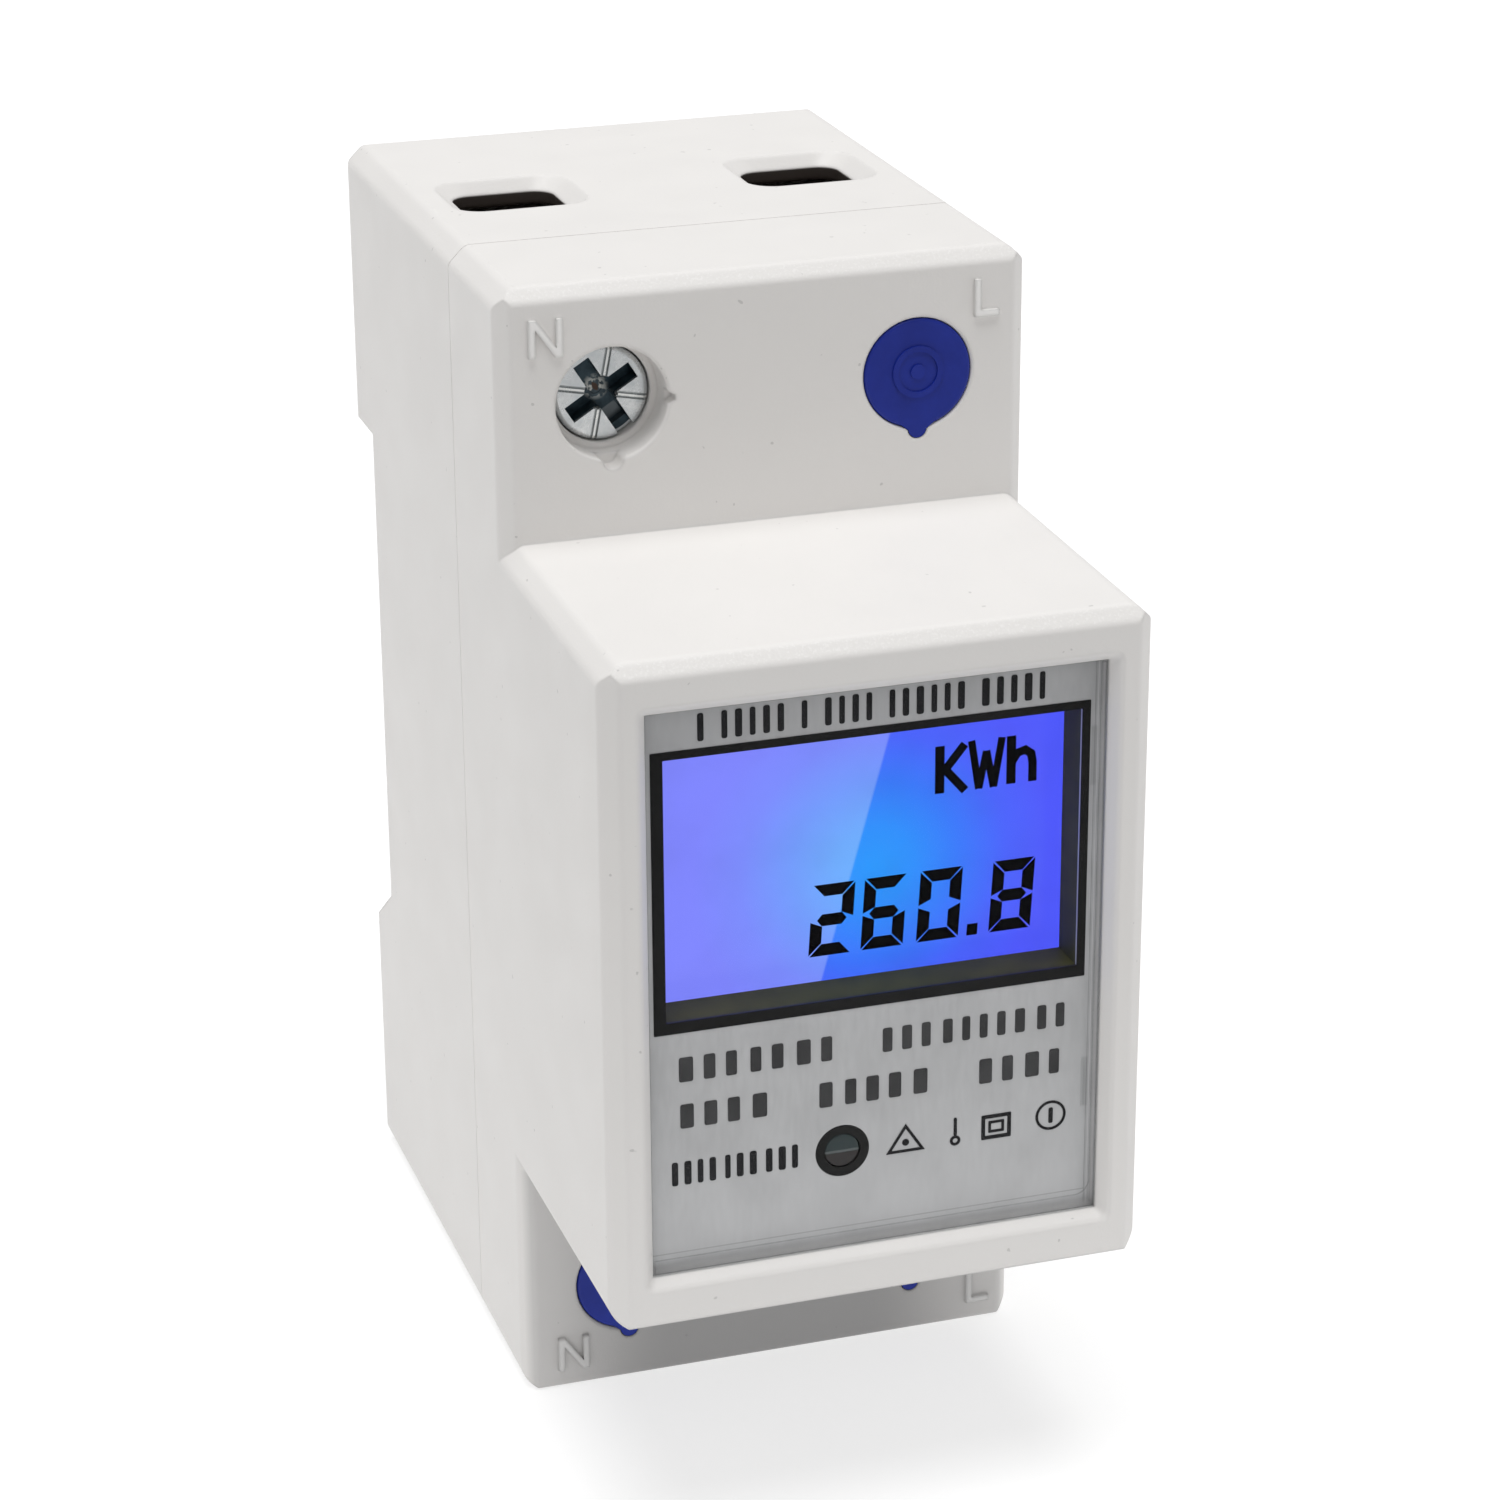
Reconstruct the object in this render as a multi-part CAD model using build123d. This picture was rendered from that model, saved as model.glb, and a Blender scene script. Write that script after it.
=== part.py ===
from build123d import *
import os
import math

# ---------------------------------------------------------------------------
# Two-module single-phase electricity meter for a 35 mm mounting rail.
# Frame: X right, Y back (the display faces -Y), Z up, millimetres.
# Origin: centre of the bottom of the bounding box.
# ---------------------------------------------------------------------------
os.makedirs("parts", exist_ok=True)

# ---- case ----
W = 36.0            # width, two 18 mm modules
H = 79.0            # height
HW = W / 2
Y_NOSE = -32.2      # front of the 45 mm nose
Y_SH = -9.2         # terminal shoulder face
Y_PART = 2.8        # joint plane between the two case halves
Y_SLOT = 27.3       # floor of the rail slot
Y_BACK = 32.2       # back pads
NOSE_Z0, NOSE_Z1 = 16.9, 62.1
TILT = 0.3          # fall of the top of the nose towards the front
SLOT_Z0, SLOT_Z1 = 22.6, 58.9
PAD_Z0 = 19.1       # lower pad bevel ends here at the back
T = 1.8             # wall
EDGE = 1.2          # outer edge bevel
SOFT = 0.9          # rounding of the bevel's borders
SEAM = 0.07         # depth of the joint line

# ---- window and display ----
WIN_X = 15.1
WIN_Z0, WIN_Z1 = 20.0, 58.3
Y_WALL = -31.1      # inside of the thinned wall round the window
Y_PANE = -31.4      # front of the clear pane
Y_LABEL = -30.5     # front of the nameplate
Y_GLAZE = -30.65    # back of the clear window
LABEL_T = 0.2
LCD_X = 13.75
LCD_Z0, LCD_Z1 = 37.2, 54.85
Y_LCD = -27.5       # front of the display glass
LED_X, LED_Z = -2.1, 26.5

# ---- terminals ----
TX = 10.4           # terminal axis from the centre line
TZ_TOP, TZ_BOT = 71.0, 7.5
CAP_R = 3.75        # well for the seal cap
WELL_Y = -6.65      # bottom of the wide well
HEAD_R = 3.2
HEAD_BORE = 3.3
SHAFT_R = 2.5
PITCH = 0.8
TRAVEL = 6.4        # cage travel, eight turns
FUN_Y = 15.05       # wire funnel centre
BAR_Y0, BAR_Y1 = 9.5, 11.0

TERMS = [("top_left", -TX, TZ_TOP), ("top_right", TX, TZ_TOP),
         ("bottom_left", -TX, TZ_BOT), ("bottom_right", TX, TZ_BOT)]


def bx(x0, x1, y0, y1, z0, z1):
    return Pos((x0 + x1) / 2, (y0 + y1) / 2, (z0 + z1) / 2) * Box(x1 - x0, y1 - y0, z1 - z0)


def cy(x, z, r, y0, y1):
    return Pos(x, (y0 + y1) / 2, z) * Rot(90, 0, 0) * Cylinder(r, y1 - y0)


def cz(x, y, r, z0, z1):
    return Pos(x, y, (z0 + z1) / 2) * Cylinder(r, z1 - z0)


def prism_yz(pts, x0, x1):
    # closed outline in (y, z), extruded along X
    f = make_face(Polyline(*[Vector(x0, p[0], p[1]) for p in pts], close=True).edges())
    return extrude(f, amount=x1 - x0, dir=(1, 0, 0))


def prism_xz(pts, y0, y1):
    f = make_face(Polyline(*[Vector(p[0], y0, p[1]) for p in pts], close=True).edges())
    return extrude(f, amount=y1 - y0, dir=(0, 1, 0))


def soften(s, edges, size):
    # rounds the edges it can, and leaves the rest
    try:
        return fillet(edges, size)
    except Exception:
        return chamfer(edges, size * 0.8)


def outline(pts, to3d):
    # closed outline; each corner is (u, v), (u, v, "c", size, soft) for a bevel with softened borders,
    # or (u, v, "r", radius) for a round
    out, radii = [], []
    n = len(pts)
    for i in range(n):
        p = pts[i]
        if len(p) > 2 and p[2] == "c":
            for q in (pts[i - 1], pts[(i + 1) % n]):
                d = math.hypot(q[0] - p[0], q[1] - p[1])
                out.append((p[0] + (q[0] - p[0]) * p[3] / d, p[1] + (q[1] - p[1]) * p[3] / d))
                radii.append(p[4])
        else:
            out.append((p[0], p[1]))
            radii.append(p[3] if len(p) > 2 else 0)
    pos = [to3d(*p) for p in out]
    face = make_face(Polyline(*pos, close=True).edges()).faces()[0]
    for r in sorted(set(radii) - {0}):
        want = [Vector(*pos[k]) for k in range(len(out)) if radii[k] == r]
        vs = [v for v in face.vertices() if any((Vector(*tuple(v)) - w).length < 1e-4 for w in want)]
        face = face.fillet_2d(r, vs)
    return face


def along_x(pts, x0, x1):
    return extrude(outline(pts, lambda y, z: (x0, y, z)), amount=x1 - x0, dir=(1, 0, 0))


def along_y(pts, y0, y1):
    return extrude(outline(pts, lambda x, z: (x, y0, z)), amount=y1 - y0, dir=(0, 1, 0))


def along_z(pts, z0, z1):
    return extrude(outline(pts, lambda x, y: (x, y, z0)), amount=z1 - z0, dir=(0, 0, 1))


def save(shape, name):
    sols = shape.solids()
    out = sols[0] if len(sols) == 1 else Compound(children=list(sols))
    export_step(out, f"parts/{name}.step")


# ---------------------------------------------------------------------------
# Front cover
# ---------------------------------------------------------------------------
B, F = EDGE, 1.5    # bevel of the upper side edges, round of the lower ones
BF = 0.88           # bevel along the upper front edges
G = 0.002           # the crossing outlines stand this far clear of flat faces
body = along_x([(Y_SH, 0, "r", 0.25), (Y_SH, H, "c", BF, 0.55), (Y_BACK, H, "r", 0.3), (Y_BACK, SLOT_Z1, "r", 0.2),
                (Y_SLOT, SLOT_Z1), (Y_SLOT, SLOT_Z0), (Y_BACK, PAD_Z0, "r", 0.2), (Y_BACK, 0, "r", 0.3)], -HW - 1, HW + 1)


def case_section(g):
    # section of the case across Y, drawn in by g
    e = g if g else -G
    return [(-HW + g, e, "r", F - g), (HW - g, e, "r", F - g), (HW - g, H - e, "c", B - 0.6 * g, SOFT), (-HW + g, H - e, "c", B - 0.6 * g, SOFT)]


body &= along_y(case_section(0.0), Y_SH - 1, Y_BACK + 1)
XG = HW + G
body &= along_z([(-XG, Y_SH - G, "c", 0.95, 0.5), (XG, Y_SH - G, "c", 0.95, 0.5), (XG, Y_BACK + G, "r", 0.3), (-XG, Y_BACK + G, "r", 0.3)], -1, H + 1)

nose = along_x([(Y_NOSE, NOSE_Z0, "r", 0.25), (Y_NOSE, NOSE_Z1 - TILT, "c", BF, 0.55), (Y_SH, NOSE_Z1), (Y_PART - 1.5, NOSE_Z1), (Y_PART - 1.5, NOSE_Z0)], -HW - 1, HW + 1)
nose &= along_y([(-HW, NOSE_Z0 - G, "r", F), (HW, NOSE_Z0 - G, "r", F), (HW, H), (-HW, H)], Y_NOSE - 1, Y_PART)
nose &= along_z([(-XG, Y_NOSE - G, "c", 1.1, 0.55), (XG, Y_NOSE - G, "c", 1.1, 0.55), (XG, Y_PART), (-XG, Y_PART)], -1, H + 1)
# the side bevels of the nose follow its slightly sloping top
GRADE = TILT / (Y_SH - Y_NOSE)
zr = NOSE_Z1 + G + GRADE * (Y_PART - 1.4 - Y_SH)
top = outline([(-XG, -5), (XG, -5), (XG, zr, "c", B, SOFT), (-XG, zr, "c", B, SOFT)], lambda x, z: (x, Y_PART - 1.4, z))
run = Y_PART - Y_NOSE
nose &= extrude(top, amount=run * math.hypot(1, GRADE), dir=(0, -1, -GRADE))

front_cover = (body & bx(-HW - 1, HW + 1, Y_NOSE - 1, Y_PART, -1, H + 1)) + nose


def seam_cut(y0, y1):
    # shallow frame round the outline of the case
    return bx(-HW - 1, HW + 1, y0, y1, -1, H + 1) - along_y(case_section(SEAM), y0 - 1, y1 + 1)


front_cover -= seam_cut(Y_PART - 0.05, Y_PART + 0.5)

# hollow: terminal boxes and nose
inner = bx(-HW + T, HW - T, Y_SH + T, Y_PART + 1, T, H - T)
inner += bx(-HW + T, HW - T, Y_NOSE + T, Y_PART + 1, NOSE_Z0 + T, NOSE_Z1 - T - 0.3)
front_cover -= inner
# rebate that takes the window flange, then the window opening with its sloped bezel
front_cover -= bx(-16.05, 16.05, Y_WALL, Y_NOSE + T + 0.1, WIN_Z0 - 0.85, WIN_Z1 + 0.85)
WIN_ZC, WIN_HZ = (WIN_Z0 + WIN_Z1) / 2, (WIN_Z1 - WIN_Z0)


def win_face(y, grow, r):
    return Pos(0, y, WIN_ZC) * Rot(90, 0, 0) * RectangleRounded(2 * WIN_X + 2 * grow, WIN_HZ + 2 * grow, r)


front_cover -= loft([win_face(Y_NOSE - 0.01, 0.75, 0.6), win_face(Y_NOSE + 0.16, 0.52, 0.5)])
front_cover -= loft([win_face(Y_NOSE + 0.15, 0.52, 0.5), win_face(Y_PANE + 0.02, 0.02, 0.12)])
front_cover -= bx(-WIN_X, WIN_X, Y_PANE - 0.01, Y_WALL + 0.1, WIN_Z0, WIN_Z1)



def tab_shape(x, z, grow, y0, y1):
    # pull tab below the cap: a round nub with a flared root
    t = cy(x, z - 3.78, 0.62 + grow, y0, y1)
    t += prism_xz([(x - 1.3 - grow, z - 3.3), (x + 1.3 + grow, z - 3.3), (x + 0.62 + grow, z - 3.85), (x - 0.62 - grow, z - 3.85)], y0, y1)
    return t


# screw wells: a collar behind the shoulder, stepped bore, notch for the cap's tab
for name, x, z in TERMS:
    front_cover += cy(x, z, 4.9, Y_SH + T - 0.2, -1.4)
for name, x, z in TERMS:
    front_cover -= cy(x, z, CAP_R, Y_SH - 1, WELL_Y)
    front_cover -= cy(x, z, HEAD_BORE, Y_SH - 1, -3.2)
    front_cover -= cy(x, z, SHAFT_R + 0.05, -4, 0)
    front_cover -= tab_shape(x, z, 0.06, Y_SH - 1, -7.6)
    if name == "top_left":
        # small witness notch where the missing cap was prised out
        front_cover -= prism_xz([(x + 3.5, z - 0.6), (x + 3.5, z + 0.6), (x + 4.25, z + 0.15), (x + 4.25, z - 0.15)], Y_SH - 1, -8.2)
    # small break on the mouth of the well
    front_cover -= Pos(x, Y_SH + 0.04, z) * Rot(90, 0, 0) * Cone(CAP_R, CAP_R + 0.2, 0.2)

# lip that enters the rear half
lip = bx(-HW + T - 0.75, HW - T + 0.75, Y_PART - 1.6, Y_PART + 1.8, T - 0.75, H - T + 0.75)
lip -= bx(-HW + T, HW - T, Y_PART - 2, Y_PART + 3, T, H - T)
front_cover += lip


# raised N and L beside the wells
def letter_n(x0, x1, z0, z1, s=0.42):
    d = Y_SH - 0.28
    m = bx(x0, x0 + s, d, Y_SH + 0.3, z0, z1) + bx(x1 - s, x1, d, Y_SH + 0.3, z0, z1)
    m += prism_xz([(x0, z1), (x0 + s * 1.15, z1), (x1, z0), (x1 - s * 1.15, z0)], d, Y_SH + 0.3)
    return m


def letter_l(x0, x1, z0, z1, s=0.42):
    d = Y_SH - 0.28
    return bx(x0, x0 + s, d, Y_SH + 0.3, z0, z1) + bx(x0, x1, d, Y_SH + 0.3, z0, z0 + s)


front_cover += letter_n(-15.9, -13.65, 74.5, 77.0)
front_cover += letter_l(14.25, 15.95, 74.5, 77.0)
front_cover += letter_n(-15.6, -13.4, 1.3, 3.8)
front_cover += letter_l(14.6, 16.3, 1.4, 3.9)
save(front_cover, "front_cover")

# ---------------------------------------------------------------------------
# Rear case half
# ---------------------------------------------------------------------------
base_case = body & bx(-HW - 1, HW + 1, Y_PART, Y_BACK + 1, -1, H + 1)
base_case -= seam_cut(Y_PART - 0.5, Y_PART + 0.05)

# hollow behind the joint plane
YI = 25.3
base_case -= bx(-HW + T, HW - T, Y_PART - 1, YI, T, H - T)
# upper pad is hollow too
base_case -= bx(-HW + T, HW - T, YI - 0.1, Y_BACK - T, SLOT_Z1 + 3.4, H - T)
# rebate for the cover's lip
base_case -= bx(-HW + T - 0.8, HW - T + 0.8, Y_PART - 1, Y_PART + 1.9, T - 0.8, H - T + 0.8)
# centre divider in each terminal bay, and the bay walls with slots for the bars
for z0, z1, zw0, zw1 in ((H - 16.0, H - T + 0.1, H - 17.6, H - 15.9), (T - 0.1, 15.9, 15.8, 17.5)):
    base_case += bx(-0.8, 0.8, Y_PART + 2.1, YI + 0.1, z0, z1)
    base_case += bx(-HW + T - 0.1, HW - T + 0.1, Y_PART + 2.2, YI + 0.1, zw0, zw1)
    zc = TZ_TOP if z0 > 40 else TZ_BOT
    for s in (-1, 1):
        # ribs that guide the clamp cage
        a, b = sorted((s * 0.7, s * 5.5))
        base_case += bx(a, b, Y_PART + 0.2, YI + 0.1, zc - 1.0, zc + 1.0)
        a, b = sorted((s * 15.3, s * (HW - T + 0.1)))
        base_case += bx(a, b, Y_PART + 2.2, YI + 0.1, zc - 2.5, zc + 2.5)
        # slot for the bar
        base_case -= bx(s * TX - 3.05, s * TX + 3.05, BAR_Y0 - 0.05, BAR_Y1 + 0.05, zw0 - 0.1, zw1 + 0.1)
# wire funnels
for s in (-1, 1):
    for zt, d in ((H, -1), (0, 1)):
        f0 = Pos(s * TX, FUN_Y, zt + 0.01 * -d) * RectangleRounded(9.6, 8.6, 2.1)
        f1 = Pos(s * TX, FUN_Y, zt + d * 0.9) * RectangleRounded(7.2, 7.2, 1.5)
        base_case -= loft([f0, f1])
        base_case -= Pos(s * TX, FUN_Y, zt + d * 1.4) * extrude(RectangleRounded(7.2, 7.2, 1.5), amount=1.4, both=True)

# posts for the main board
POSTS = [(-13.6, 22.4), (13.6, 22.4), (-13.6, 57.0), (13.6, 57.0)]
Y_MB0, Y_MB1 = -8.0, -6.4
for x, z in POSTS:
    base_case += cy(x, z, 2.0, Y_MB1, 8.9)
    a, b = sorted((x, math.copysign(HW - T + 0.1, x)))
    base_case += bx(a, b, Y_PART + 2.1, 8.9, z - 1.2, z + 1.2)
    base_case -= cy(x, z, 1.05, Y_MB1 - 1, 2.0)

# fixed hook for the rail, undercut in the upper pad
base_case -= bx(-14.0, 14.0, Y_SLOT - 0.0, Y_SLOT + 1.4, SLOT_Z1 - 0.5, SLOT_Z1 + 1.5)
# channel and side grooves for the sliding clip
CH_X = 7.1
base_case -= bx(-CH_X, CH_X, Y_SLOT + 0.2, Y_BACK + 1, -1, SLOT_Z0 + 1)
base_case -= bx(-CH_X - 1.3, CH_X + 1.3, Y_SLOT + 0.2, Y_SLOT + 2.4, -1, SLOT_Z0 + 1)
# lug that carries the spring
base_case += bx(-2.3, 2.3, Y_SLOT - 0.2, Y_SLOT + 3.7, 6.3, 8.0)
save(base_case, "base_case")

# ---------------------------------------------------------------------------
# Window, nameplate, display stack
# ---------------------------------------------------------------------------
pane = bx(-WIN_X + 0.03, WIN_X - 0.03, Y_PANE, Y_GLAZE, WIN_Z0 + 0.03, WIN_Z1 - 0.03)
# shallow step just inside the edge of the pane
pane -= (bx(-14.95, 14.95, Y_PANE - 1, Y_PANE + 0.16, WIN_Z0 + 0.15, WIN_Z1 - 0.15)
         - Pos(-5.0, Y_PANE, 46.1) * Rot(90, 0, 0) * extrude(RectangleRounded(39.3, 50.0, 1.0), amount=3, both=True))
flange = bx(-16.0, 16.0, Y_WALL, Y_GLAZE, WIN_Z0 - 0.8, WIN_Z1 + 0.8)
save(pane + flange, "window_lens")

nameplate = bx(-15.95, 15.95, Y_LABEL, Y_LABEL + LABEL_T, WIN_Z0 - 0.75, WIN_Z1 + 0.75)
nameplate -= bx(-LCD_X, LCD_X, Y_LABEL - 1, Y_LABEL + 1, LCD_Z0, LCD_Z1)
nameplate -= cy(LED_X, LED_Z, 1.82, Y_LABEL - 1, Y_LABEL + 1)
save(nameplate, "nameplate")

Y_H0 = Y_LABEL + LABEL_T
Y_DB0, Y_DB1 = -22.8, -21.2
holder = bx(-15.6, 15.6, Y_H0, Y_DB0, 35.2, 58.2)
holder -= bx(-LCD_X, LCD_X, Y_H0 - 1, Y_LCD + 0.1, LCD_Z0, LCD_Z1)
holder -= bx(-14.65, 14.65, Y_LCD, Y_DB0 + 1, 36.3, 56.2)
holder -= bx(-12.4, 12.4, Y_LCD - 0.3, Y_DB0 + 1, 56.1, 57.4)
save(holder, "display_holder")
save(bx(-14.6, 14.6, Y_LCD, -25.7, 36.35, 56.15), "lcd_glass")
save(bx(-14.6, 14.6, -25.7, Y_DB0, 36.35, 56.15), "backlight_plate")

# display pins along the top edge of the glass
pins = None
for i in range(12):
    x = -11.0 + 2.0 * i
    p = bx(x - 0.25, x + 0.25, -27.2, -20.4, 56.45, 56.95)
    pins = p if pins is None else pins + p
save(pins, "lcd_pins")

# header pins join the two boards
HX = [-4.4 + 2.2 * i for i in range(5)]
HZ = 33.0
display_board = bx(-15.7, 15.7, Y_DB0, Y_DB1, 19.6, 59.6)
for i in range(12):
    display_board -= cy(-11.0 + 2.0 * i, 56.7, 0.45, Y_DB0 - 1, Y_DB1 + 1)
for x in HX:
    display_board -= cy(x, HZ, 0.45, Y_DB0 - 1, Y_DB1 + 1)
save(display_board, "display_board")

# indicator
sleeve = cy(LED_X, LED_Z, 1.8, Y_LABEL, Y_DB0) - cy(LED_X, LED_Z, 1.2, Y_LABEL - 1, Y_DB0 + 1)
save(sleeve, "indicator_sleeve")
led = cy(LED_X, LED_Z, 1.18, Y_LABEL + 0.08, Y_DB0)
led = soften(led.solids()[0], [e for e in led.edges() if abs(e.center().Y - Y_LABEL - 0.08) < 0.01], 0.12)
save(led, "indicator_led")

# ---------------------------------------------------------------------------
# Main board and what is on it
# ---------------------------------------------------------------------------
main_board = bx(-15.8, 15.8, Y_MB0, Y_MB1, 19.4, 59.8)
for x, z in POSTS:
    main_board -= cy(x, z, 1.25, Y_MB0 - 1, Y_MB1 + 1)
for x in HX:
    main_board -= cy(x, HZ, 0.45, Y_MB0 - 1, Y_MB1 + 1)
LEADS = [(9.0, 47.4), (9.0, 31.6), (-9.0, 40.0)]
for x, z in LEADS:
    main_board -= cy(x, z, 0.7, Y_MB0 - 1, Y_MB1 + 1)
save(main_board, "main_board")

header = bx(-5.6, 5.6, -10.5, Y_MB0, HZ - 1.2, HZ + 1.2)
for x in HX:
    header += bx(x - 0.3, x + 0.3, -20.4, -5.6, HZ - 0.3, HZ + 0.3)
    header += bx(x - 0.3, x + 0.3, -23.6, -20.3, HZ - 0.3, HZ + 0.3)
save(header, "board_header")

screws = None
for x, z in POSTS:
    s = cy(x, z, 2.0, Y_MB0 - 1.3, Y_MB0) + cy(x, z, 1.0, Y_MB0 - 0.5, 0.5)
    s -= bx(x - 1.3, x + 1.3, Y_MB0 - 2, Y_MB0 - 0.7, z - 0.25, z + 0.25)
    s -= bx(x - 0.25, x + 0.25, Y_MB0 - 2, Y_MB0 - 0.7, z - 1.3, z + 1.3)
    screws = s if screws is None else screws + s
save(screws, "board_screws")


def chip(x0, x1, z0, z1, n, body_t=1.5):
    # small outline package on the front of the main board, leads down both long sides
    c = bx(x0, x1, Y_MB0 - body_t - 0.1, Y_MB0 - 0.1, z0, z1)
    for i in range(n):
        x = x0 + (i + 0.5) * (x1 - x0) / n
        for za, zb in ((z0 - 0.9, z0 + 0.1), (z1 - 0.1, z1 + 0.9)):
            c += bx(x - 0.2, x + 0.2, Y_MB0 - 0.9, Y_MB0 - 0.7, za, zb)
        c += bx(x - 0.2, x + 0.2, Y_MB0 - 0.9, Y_MB0, z0 - 0.9, z0 - 0.7)
        c += bx(x - 0.2, x + 0.2, Y_MB0 - 0.9, Y_MB0, z1 + 0.7, z1 + 0.9)
    return c


save(chip(-6.0, 4.2, 24.0, 28.0, 8), "metering_chip")
save(chip(-5.0, 5.0, 37.0, 41.4, 8), "controller_chip")

cap = cy(-10.4, 31.2, 4.0, -19.5, Y_MB0)
cap = soften(cap.solids()[0], cap.edges(), 0.4)
save(cap, "bulk_capacitor")
drop = bx(-6.6, 6.6, -19.0, Y_MB0, 44.4, 50.4)
drop = soften(drop.solids()[0], [e for e in drop.edges() if e.center().Y < Y_MB0 - 0.1], 0.5)
save(drop, "dropper_capacitor")
var = Pos(10.0, -13.6, 41.0) * Rot(0, 90, 0) * Cylinder(4.6, 3.4)
var = soften(var.solids()[0], var.edges(), 0.6)
var += bx(9.7, 10.3, -9.6, Y_MB0, 38.7, 39.3) + bx(9.7, 10.3, -9.6, Y_MB0, 42.7, 43.3)
save(var, "varistor")
res = None
for i, (x, z) in enumerate([(7.6, 25.0), (7.6, 28.0), (11.4, 26.5), (-12.6, 44.0), (-12.6, 47.0), (-12.6, 50.0)]):
    r = bx(x - 1.6, x + 1.6, Y_MB0 - 0.6, Y_MB0, z - 0.8, z + 0.8)
    res = r if res is None else res + r
save(res, "chip_resistors")

# ---------------------------------------------------------------------------
# Current path
# ---------------------------------------------------------------------------
BAR_W = 3.0
save(bx(TX - BAR_W, TX + BAR_W, BAR_Y0, BAR_Y1, 46.0, 76.4), "line_bar_in")
save(bx(TX - BAR_W, TX + BAR_W, BAR_Y0, BAR_Y1, 2.2, 33.0), "line_bar_out")
sh = bx(TX - BAR_W, TX + BAR_W, BAR_Y0, BAR_Y1, 33.0, 46.0)
sh -= bx(TX - BAR_W - 0.1, TX - BAR_W + 1.2, BAR_Y0 - 1, BAR_Y1 + 1, 37.0, 42.0)
save(sh, "current_shunt")
save(bx(-TX - BAR_W, -TX + BAR_W, BAR_Y0, BAR_Y1, 2.2, 76.4), "neutral_bar")

# stiff leads from the bars to the board
leads = None
for (x, z), (bx_, bz) in zip(LEADS, [(11.4, 47.4), (11.4, 31.6), (-11.0, 40.0)]):
    path = FilletPolyline((bx_, BAR_Y0, bz), (bx_, 4.5, bz), (x, -1.0, z), (x, -9.2, z), radius=3.0)
    prof = Plane(origin=path @ 0, z_dir=path % 0) * Circle(0.5)
    l = sweep(prof, path=path)
    leads = l if leads is None else leads + l
save(leads, "sense_leads")

# ---------------------------------------------------------------------------
# Terminal screws, clamp cages, seal caps
# ---------------------------------------------------------------------------
HEAD_Y = -6.6       # front of the head
for name, x, z in TERMS:
    s = cy(x, z, HEAD_R, HEAD_Y, -3.25)
    s = soften(s.solids()[0], [e for e in s.edges() if abs(e.center().Y - HEAD_Y) < 0.01], 0.35)
    s += cy(x, z, SHAFT_R, -3.3, BAR_Y0 - 0.1)
    # combination recess: cross arms, a shallow slot that runs out of the rim, a tapered centre
    spin = Pos(x, HEAD_Y, z) * Rot(0, 58, 0)
    s -= spin * Box(5.0, 2.9, 1.2)
    s -= spin * Rot(0, 90, 0) * Box(5.1, 2.9, 1.2)
    s -= spin * Pos(2.2, 0, 0) * Box(3.0, 1.5, 1.2)
    s -= Pos(x, HEAD_Y + 0.75, z) * Rot(-90, 0, 0) * Cone(1.15, 0.45, 1.5)
    # pairs of fine ticks between the arms
    for a in (11, 101):
        s -= Pos(x, HEAD_Y, z) * Rot(0, a, 0) * Pos(0, 0, 0.14) * Box(5.9, 0.24, 0.13)
        s -= Pos(x, HEAD_Y, z) * Rot(0, a, 0) * Pos(0, 0, -0.14) * Box(5.9, 0.24, 0.13)
    save(s, "terminal_screw_" + name)

    c = bx(x - 4.8, x + 4.8, 5.6, 20.2, z - 3.7, z + 3.7)
    c = soften(c.solids()[0], [e for e in c.edges() if abs(abs(e.center().X - x) - 4.8) < 0.01 and abs(e.center().Z - z) < 0.01], 0.8)
    c -= bx(x - 3.3, x + 3.3, 7.6, 18.6, z - 4, z + 4)
    c -= cy(x, z, SHAFT_R + 0.05, 5, 8)
    save(c, "clamp_cage_" + name)

for name, x, z in TERMS[1:]:
    c = cy(x, z, 3.69, Y_SH + 0.02, Y_SH + 1.3)
    c = soften(c.solids()[0], [e for e in c.edges() if abs(e.center().Y - Y_SH - 0.02) < 0.01], 0.2)
    c += cy(x, z, 3.7, Y_SH + 1.2, WELL_Y - 0.05) - cy(x, z, 3.26, Y_SH + 1.25, WELL_Y + 1)
    c += tab_shape(x, z, 0.0, Y_SH + 0.02, Y_SH + 1.0)
    # plain raised ring and dot
    c += cy(x, z + 0.1, 1.75, Y_SH - 0.1, Y_SH + 0.3) - cy(x, z + 0.1, 1.35, Y_SH - 1, Y_SH + 1)
    c += cy(x, z + 0.1, 0.5, Y_SH - 0.1, Y_SH + 0.3)
    save(c, "seal_cap_" + name)

# ---------------------------------------------------------------------------
# Rail clip and its spring
# ---------------------------------------------------------------------------
clip = prism_yz([(27.7, 0.8), (31.4, 0.8), (31.4, 25.0), (29.8, 26.6), (28.7, 26.6), (28.7, 24.9), (27.7, 24.9)], -6.95, 6.95)
clip += bx(-8.2, 8.2, 27.7, 29.5, 0.8, 19.0)
clip -= bx(-2.6, 2.6, 26, 33, 6.1, 18.0)
clip -= bx(-2.2, 2.2, 29.9, 33, 1.8, 3.6)
save(clip, "rail_clip")

SP_R, SP_W, SP_Y = 1.45, 0.24, 29.5
SP_Z0, SP_Z1 = 8.0, 18.0
helix_h = SP_Z1 - SP_Z0 - 2 * SP_W - 0.1
hel = Pos(0, SP_Y, SP_Z0 + SP_W + 0.05) * Helix(pitch=helix_h / 6, height=helix_h, radius=SP_R)
prof = Plane(origin=hel @ 0, z_dir=hel % 0) * Circle(SP_W)
spring = sweep(prof, path=hel, is_frenet=True)
print("spring volume", spring.volume, "expected", math.pi * SP_W ** 2 * hel.length)
save(spring, "clip_spring")
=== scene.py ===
import bpy, bmesh, math, random
from mathutils import Vector, Matrix


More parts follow.
